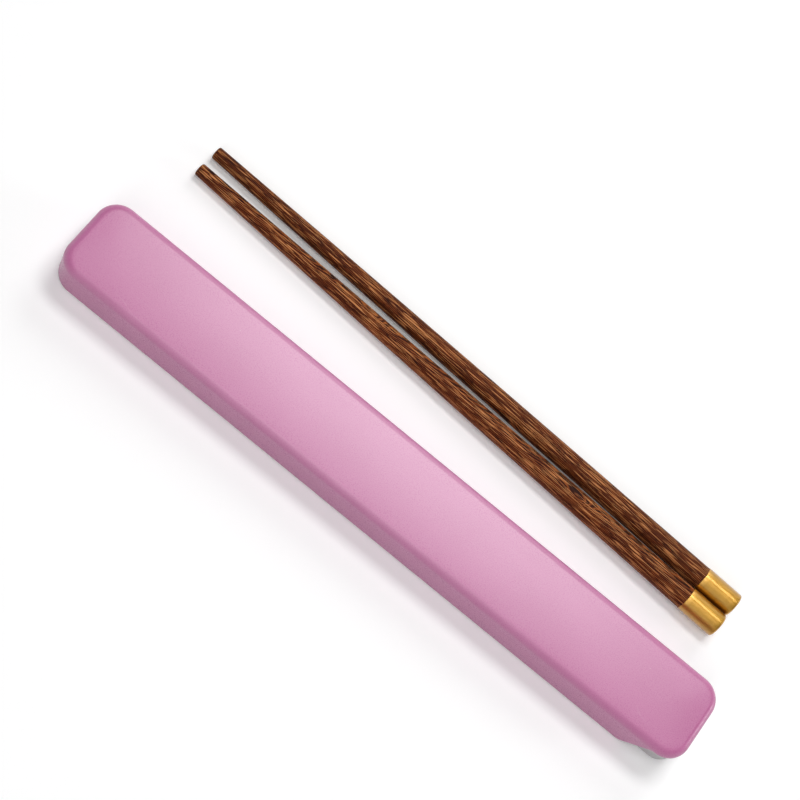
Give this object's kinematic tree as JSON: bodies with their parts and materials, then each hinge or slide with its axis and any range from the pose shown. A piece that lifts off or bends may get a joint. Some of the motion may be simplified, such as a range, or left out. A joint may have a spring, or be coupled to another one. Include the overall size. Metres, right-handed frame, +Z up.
{
  "type": "portable chopstick case",
  "caption": "Long slim travel case with a rounded shell cover that slides off a tray, shown closed beside the capped wooden chopsticks it carries.",
  "frame": {"origin": "on the table under the middle of the case, on the underside of the tray", "axes": "+X along the case towards its open end, +Y towards the chopsticks beside it, +Z up"},
  "size_m": [0.2497, 0.0705, 0.016],
  "materials": {
    "cover_plastic": "satin moulded plastic, pink",
    "tray_plastic": "satin moulded plastic, pale grey",
    "dark_wood": "oiled dark wood with fine lighter streaks",
    "gold_metal": "satin gold"
  },
  "bodies": {
    "tray": {"base_tray": "tray_plastic"},
    "cover": {"slide_cover": "cover_plastic"},
    "near_chopstick": {"near_shaft": "dark_wood", "near_end_cap": "gold_metal"},
    "far_chopstick": {"far_shaft": "dark_wood", "far_end_cap": "gold_metal"}
  },
  "joints": [
    {"name": "cover_slide", "type": "slide", "parent": "tray", "child": "cover", "axis": [-1, 0, 0], "range_m": [0, 0.255]},
    {"name": "near_chopstick_lift", "type": "slide", "parent": "tray", "child": "near_chopstick", "axis": [0, 0, 1], "range_m": [0, 0.06]},
    {"name": "far_chopstick_lift", "type": "slide", "parent": "tray", "child": "far_chopstick", "axis": [0, 0, 1], "range_m": [0, 0.06]}
  ]
}
